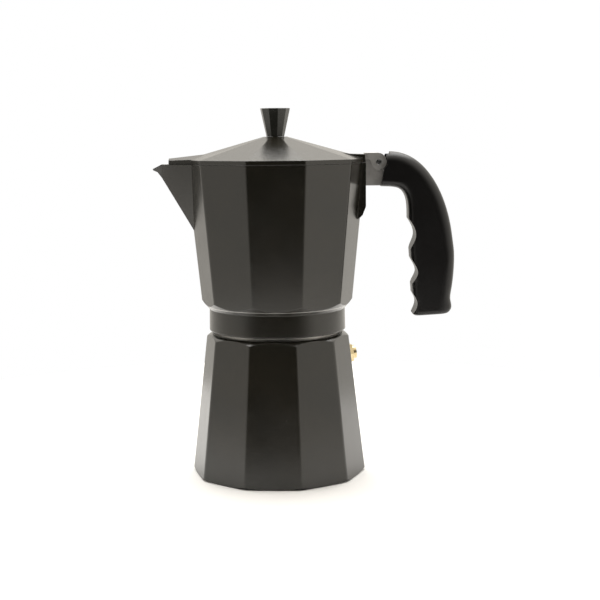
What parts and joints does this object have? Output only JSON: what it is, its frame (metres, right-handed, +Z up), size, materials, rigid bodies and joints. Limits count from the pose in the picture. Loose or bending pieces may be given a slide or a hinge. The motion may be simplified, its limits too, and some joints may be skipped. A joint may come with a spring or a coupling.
{
  "type": "moka pot",
  "caption": "Stovetop moka pot with a faceted boiler, threaded collector with a beak spout, hinged faceted lid, tapered knob and a curved side handle with finger grooves.",
  "frame": {"origin": "middle of the boiler's flat base, on the axis of the pot", "axes": "+Z up along the pot's axis, +X towards the handle, -X towards the spout"},
  "size_m": [0.2048, 0.1164, 0.25],
  "materials": {
    "coated_aluminium": "glossy olive-graphite coating over cast aluminium",
    "bare_aluminium": "drawn and stamped aluminium, satin",
    "silicone": "off-white silicone",
    "fibre": "red fibre",
    "brass": "turned brass",
    "steel": "stamped stainless steel",
    "screws": "bright zinc-plated steel",
    "handle_black": "satin black moulded phenolic",
    "knob_black": "gloss black moulded phenolic"
  },
  "bodies": {
    "boiler": {"boiler": "coated_aluminium", "valve_washer": "fibre", "valve_body": "brass", "valve_cap": "brass", "valve_spring": "steel"},
    "valve_plunger": {"valve_plunger": "steel"},
    "funnel": {"funnel": "bare_aluminium", "funnel_plate": "bare_aluminium"},
    "filter_plate": {"filter_plate": "bare_aluminium"},
    "gasket": {"gasket": "silicone"},
    "collector": {"collector": "coated_aluminium", "column": "bare_aluminium", "handle_bracket": "steel", "bracket_screws": "screws", "hinge_pin": "steel", "handle": "handle_black", "handle_washer": "screws", "handle_screw": "screws"},
    "lid": {"lid": "coated_aluminium", "lid_hinge_leaf": "steel", "leaf_rivets": "steel", "knob": "knob_black", "knob_insert": "brass", "knob_washer": "screws", "knob_screw": "screws"}
  },
  "joints": [
    {"name": "lift_off", "type": "slide", "parent": "boiler", "child": "filter_plate", "axis": [0, 0, 1], "range_m": [0, 0.25]},
    {"name": "thread_rise", "type": "slide", "parent": "filter_plate", "child": "gasket", "axis": [0, 0, 1], "range_m": [0, 0.0064]},
    {"name": "unscrew", "type": "hinge", "parent": "gasket", "child": "collector", "pos_m": [0, 0, 0.1], "axis": [0, 0, 1], "range_deg": [0, 720]},
    {"name": "funnel_lift", "type": "slide", "parent": "boiler", "child": "funnel", "axis": [0, 0, 1], "range_m": [0, 0.125]},
    {"name": "lid_hinge", "type": "hinge", "parent": "collector", "child": "lid", "pos_m": [0.0696, 0, 0.2135], "axis": [0, 1, 0], "range_deg": [0, 100]},
    {"name": "valve_lift", "type": "slide", "parent": "boiler", "child": "valve_plunger", "axis": [0.9656, 0.2354, 0.1103], "range_m": [0, 0.0015], "stiffness_N_per_m": 1500, "springref_m": -0.001, "deforming": ["valve_spring"]}
  ],
  "couplings": [
    {"joint": "thread_rise", "follows": "unscrew", "m_per_rad": 0.00050929},
    {"joint": "funnel_lift", "follows": "lift_off", "ratio": 0.5}
  ]
}
